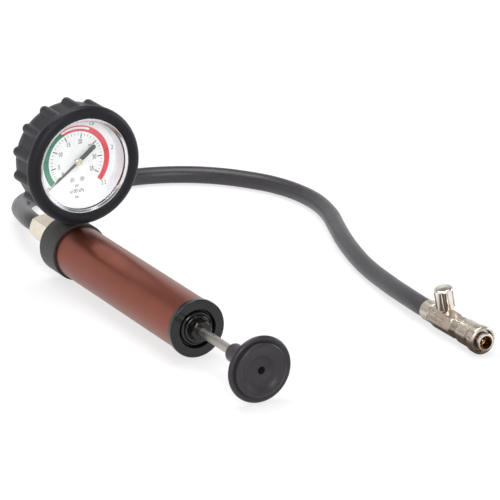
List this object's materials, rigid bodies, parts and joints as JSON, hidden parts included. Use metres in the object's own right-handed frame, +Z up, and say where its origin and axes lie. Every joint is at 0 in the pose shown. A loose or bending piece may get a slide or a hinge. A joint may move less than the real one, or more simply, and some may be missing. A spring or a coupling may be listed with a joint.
{
  "type": "cooling system pressure tester",
  "caption": "Hand pump with a pressure gauge on its rear cap, a rubber hose and a quick coupler with a release valve, for testing a cooling system.",
  "frame": {"origin": "on the ground under the middle of the pump and gauge, the hose and its coupler not counted", "axes": "+X along the pump towards its handle, which is also the way the gauge faces, +Y to the hose's side, +Z up"},
  "size_m": [0.411, 0.2525, 0.1217],
  "materials": {
    "anodised": "satin, anodised",
    "black_metal": "matt",
    "gloss_black": "glossy",
    "satin_black": "satin",
    "black_metal_guide": "satin",
    "rubber": "matt",
    "boot_rubber": "matt",
    "hose_rubber": "matt",
    "steel": "bright",
    "aluminium": "turned",
    "nickel": "nickel plated",
    "brass": "turned",
    "copper": "bright",
    "dial_white": "satin",
    "ring_grey": "satin",
    "bezel_chrome": "chrome plated",
    "lens": "clear",
    "pointer_dark": "matt",
    "hub_brass": "pale"
  },
  "bodies": {
    "pump": {"barrel_tube": "anodised", "rear_cap": "black_metal", "front_cap": "gloss_black", "barrel_seals": "rubber", "valve_seat": "brass", "valve_spring": "steel", "rod_guide": "black_metal_guide", "rod_seal": "rubber", "adapter_nipple": "nickel", "adapter_washer": "copper", "hose_fitting": "nickel", "hose": "hose_rubber", "gauge_stem": "brass", "stem_washer": "copper", "gauge_case": "black_metal", "case_screws": "steel", "gauge_boot": "boot_rubber", "bourdon_tube": "brass", "back_plate": "brass", "front_plate": "brass", "plate_pillars": "brass", "plate_screws": "steel", "dial": "dial_white", "dial_screws": "steel", "dial_ring": "ring_grey", "lens_gasket": "rubber", "gauge_lens": "lens", "bezel": "bezel_chrome", "coupler_ferrule": "nickel", "hose_tail": "nickel", "coupler_body": "nickel", "coupler_nozzle": "brass", "socket_seal": "rubber", "locking_balls": "steel", "retaining_ring": "steel", "sleeve_spring": "steel", "valve_gland": "nickel", "spindle_seal": "rubber"},
    "check_ball": {"valve_ball": "steel"},
    "plunger": {"pump_rod": "steel", "piston": "aluminium", "cup_seal": "rubber", "piston_washer": "steel", "piston_nut": "steel", "handle_knob": "satin_black", "handle_screw": "steel"},
    "sector": {"sector_gear": "brass"},
    "needle": {"pointer": "pointer_dark", "pointer_hub": "hub_brass", "pinion": "brass"},
    "gauge_link": {"link": "brass"},
    "sleeve": {"coupler_sleeve": "nickel"},
    "spindle": {"valve_spindle": "steel"},
    "release_knob": {"valve_knob": "nickel"}
  },
  "joints": [
    {"name": "rod_slide", "type": "slide", "parent": "pump", "child": "plunger", "axis": [1, 0, 0], "range_m": [-0.039, 0.081]},
    {"name": "check_valve_lift", "type": "slide", "parent": "pump", "child": "check_ball", "axis": [-1, 0, 0], "range_m": [0, 0.0008], "stiffness_N_per_m": 50, "springref_m": -0.001, "deforming": ["valve_spring"]},
    {"name": "sector_swing", "type": "hinge", "parent": "pump", "child": "sector", "pos_m": [-0.09345, 0, 0.0647], "axis": [1, 0, 0], "range_deg": [0, 43.33], "stiffness_Nm_per_rad": 0.002, "springref_deg": -11.46},
    {"name": "needle_turn", "type": "hinge", "parent": "pump", "child": "needle", "pos_m": [-0.09345, 0, 0.0822], "axis": [1, 0, 0], "range_deg": [-260, 0]},
    {"name": "link_swing", "type": "hinge", "parent": "sector", "child": "gauge_link", "pos_m": [-0.09445, -0.00191, 0.06008], "axis": [1, 0, 0], "range_deg": [-43.33, 0]},
    {"name": "sleeve_slide", "type": "slide", "parent": "pump", "child": "sleeve", "axis": [-1, 0, 0], "range_m": [0, 0.004], "stiffness_N_per_m": 500, "springref_m": -0.002, "deforming": ["sleeve_spring"]},
    {"name": "valve_lift", "type": "slide", "parent": "pump", "child": "spindle", "axis": [0, -0.1908, 0.9816], "range_m": [0, 0.001]},
    {"name": "valve_turn", "type": "hinge", "parent": "spindle", "child": "release_knob", "pos_m": [0.10861, 0.15495, 0.02471], "axis": [0, -0.1908, 0.9816], "range_deg": [0, 360]}
  ],
  "couplings": [
    {"joint": "needle_turn", "follows": "sector_swing", "ratio": -6},
    {"joint": "link_swing", "follows": "sector_swing", "ratio": -1},
    {"joint": "valve_lift", "follows": "valve_turn", "m_per_rad": 0.00015915}
  ]
}
